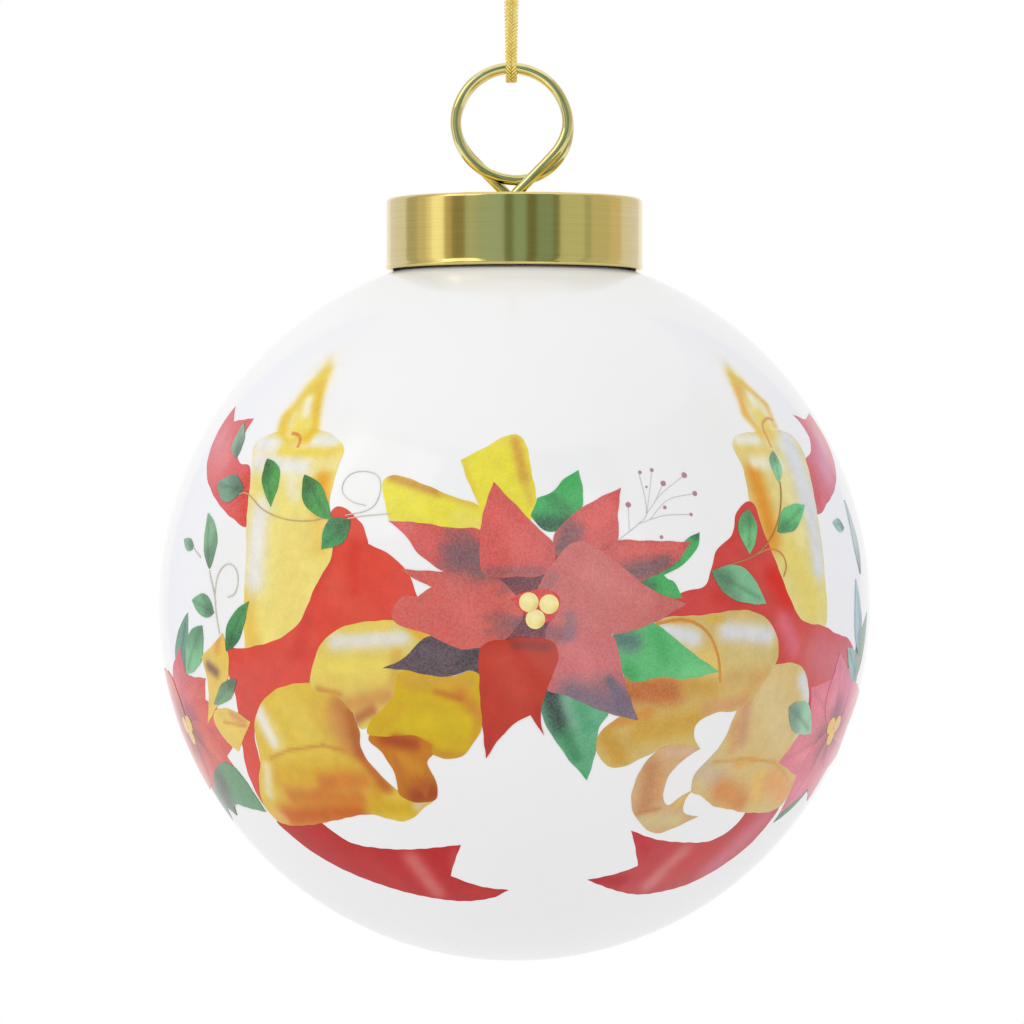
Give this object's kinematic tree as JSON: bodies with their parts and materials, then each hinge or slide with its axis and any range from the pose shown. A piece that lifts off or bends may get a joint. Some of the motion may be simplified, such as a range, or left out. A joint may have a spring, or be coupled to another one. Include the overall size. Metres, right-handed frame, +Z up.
{
  "type": "glass ball ornament",
  "caption": "Hanging round glass ornament with a printed winter flower and candle band, a drawn metal cap, a coiled wire ring and a knotted metallic cord loop.",
  "frame": {"origin": "the hang point: the axis of the peg or hook that carries the cord loop, just under the knot", "axes": "+Z up, along the line the ornament hangs on; the wire ring lies in the XZ plane; -Y is the front of the print"},
  "size_m": [0.076, 0.076, 0.1539],
  "materials": {
    "opal_glass": "gloss",
    "print_ink": "gloss",
    "black_rubber": "matte",
    "brushed_brass": "brushed",
    "polished_brass": "polished",
    "gold_braid": "metallic thread"
  },
  "bodies": {
    "cord_loop": {"cord": "gold_braid", "cord_knot": "gold_braid", "cord_tails": "gold_braid"},
    "hanger": {"hanger_wire": "polished_brass"},
    "cap": {"cap": "brushed_brass"},
    "cushion": {"cushion_ring": "black_rubber"},
    "ball": {"glass_ball": "opal_glass", "printed_band": "print_ink"}
  },
  "joints": [
    {"name": "ring_swing", "type": "hinge", "parent": "cord_loop", "child": "hanger", "pos_m": [0, 0, -0.045], "axis": [1, 0, 0], "range_deg": [-75, 75]},
    {"name": "cap_rock", "type": "hinge", "parent": "hanger", "child": "cap", "pos_m": [0, 0, -0.05915], "axis": [1, 0, 0], "range_deg": [-5, 5]},
    {"name": "cap_turn", "type": "hinge", "parent": "cap", "child": "cushion", "pos_m": [0, 0, -0.06035], "axis": [0, 0, 1], "continuous": true},
    {"name": "ball_pull", "type": "slide", "parent": "cushion", "child": "ball", "axis": [0, 0, -1], "range_m": [0, 0.022]}
  ]
}
